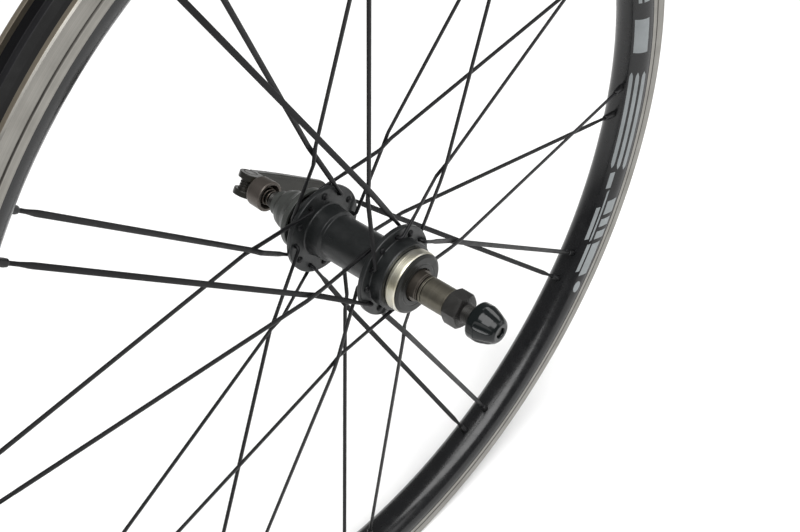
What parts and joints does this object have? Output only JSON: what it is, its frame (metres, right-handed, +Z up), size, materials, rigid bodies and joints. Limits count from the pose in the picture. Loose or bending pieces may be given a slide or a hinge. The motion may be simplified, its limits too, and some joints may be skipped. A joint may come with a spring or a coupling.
{
  "type": "quick-release bicycle rear wheel",
  "caption": "Small rear bicycle wheel with paired black bladed spokes, aero rim with machined brake tracks, threaded hub and quick-release skewer.",
  "frame": {"origin": "centre of the wheel, on the hub axis, half way between the two dropout faces and in the middle plane of the rim", "axes": "Y along the hub axis: -Y points out of the threaded drive side and the skewer nut, +Y out of the lever side; +Z up, as the wheel stands in the frame"},
  "size_m": [0.521, 0.1896, 0.521],
  "materials": {
    "rim_alloy": "gloss black with machined brake tracks",
    "rim_strip_rubber": "matte",
    "spoke_black": "satin black",
    "hub_black": "satin black anodised",
    "zinc_steel": "bright zinc plate, turned",
    "bearing_steel": "polished",
    "dull_steel": "dull grey-brown plate",
    "locknut_steel": "dark satin plate",
    "cap_black": "satin black",
    "grey_alloy": "satin grey anodised",
    "spring_steel": "dark wire",
    "gloss_alloy": "gloss blue-black anodised",
    "nylon": "matte",
    "lever_alloy": "satin grey-brown cast alloy",
    "brass": "satin"
  },
  "bodies": {
    "axle_set": {"axle": "dull_steel", "drive_cone": "dull_steel", "left_cone": "dull_steel", "drive_lock_washer": "dull_steel", "left_lock_washer": "dull_steel", "spacer_sleeve": "dull_steel", "drive_locknut": "locknut_steel", "left_locknut": "locknut_steel", "left_end_cap": "grey_alloy"},
    "wheel": {"hub_shell": "hub_black", "freewheel_thread_ring": "zinc_steel", "drive_bearing_cup": "bearing_steel", "left_bearing_cup": "bearing_steel", "drive_dust_cap": "cap_black", "left_dust_cap": "cap_black", "rim": "rim_alloy", "rim_strip": "rim_strip_rubber", "spoke_01": "spoke_black", "spoke_02": "spoke_black", "spoke_03": "spoke_black", "spoke_04": "spoke_black", "spoke_05": "spoke_black", "spoke_06": "spoke_black", "spoke_07": "spoke_black", "spoke_08": "spoke_black", "spoke_09": "spoke_black", "spoke_10": "spoke_black", "spoke_11": "spoke_black", "spoke_12": "spoke_black", "spoke_13": "spoke_black", "spoke_14": "spoke_black", "spoke_15": "spoke_black", "spoke_16": "spoke_black", "spoke_17": "spoke_black", "spoke_18": "spoke_black", "spoke_19": "spoke_black", "spoke_20": "spoke_black", "spoke_21": "spoke_black", "spoke_22": "spoke_black", "spoke_23": "spoke_black", "spoke_24": "spoke_black"},
    "drive_balls": {"drive_ball_cage": "bearing_steel"},
    "left_balls": {"left_ball_cage": "bearing_steel"},
    "skewer": {"skewer_rod": "dull_steel", "cross_pin": "dull_steel", "drive_spring": "spring_steel", "left_spring": "spring_steel"},
    "cam_cup": {"cam_cup": "lever_alloy", "cam_bushing": "brass"},
    "lever": {"lever": "lever_alloy"},
    "nut_carrier": {"nut_insert": "nylon"},
    "skewer_nut": {"skewer_nut": "gloss_alloy"}
  },
  "joints": [
    {"name": "wheel_spin", "type": "hinge", "parent": "axle_set", "child": "wheel", "pos_m": [0, 0, 0], "axis": [0, 1, 0], "continuous": true},
    {"name": "drive_balls_spin", "type": "hinge", "parent": "axle_set", "child": "drive_balls", "pos_m": [0, -0.0285, 0], "axis": [0, 1, 0], "continuous": true},
    {"name": "left_balls_spin", "type": "hinge", "parent": "axle_set", "child": "left_balls", "pos_m": [0, 0.039, 0], "axis": [0, 1, 0], "continuous": true},
    {"name": "skewer_float", "type": "slide", "parent": "axle_set", "child": "skewer", "axis": [0, 1, 0], "range_m": [-0.004, 0.004], "deforming": ["drive_spring", "left_spring"]},
    {"name": "lever_swing", "type": "hinge", "parent": "skewer", "child": "lever", "pos_m": [0, 0.0941, 0], "axis": [0.5299, 0, 0.848], "range_deg": [0, 180]},
    {"name": "cup_travel", "type": "slide", "parent": "skewer", "child": "cam_cup", "axis": [0, 1, 0], "range_m": [0, 0.0025]},
    {"name": "nut_travel", "type": "slide", "parent": "skewer", "child": "nut_carrier", "axis": [0, 1, 0], "range_m": [-0.00654, 0.00127]},
    {"name": "nut_turn", "type": "hinge", "parent": "nut_carrier", "child": "skewer_nut", "pos_m": [0, -0.0742, 0], "axis": [0, 1, 0], "range_deg": [-2940, 570]}
  ],
  "couplings": [
    {"joint": "drive_balls_spin", "follows": "wheel_spin", "ratio": 0.617},
    {"joint": "left_balls_spin", "follows": "wheel_spin", "ratio": 0.617},
    {"joint": "cup_travel", "follows": "lever_swing", "m_per_rad": 0.00076},
    {"joint": "nut_travel", "follows": "nut_turn", "m_per_rad": 0.00012732}
  ]
}
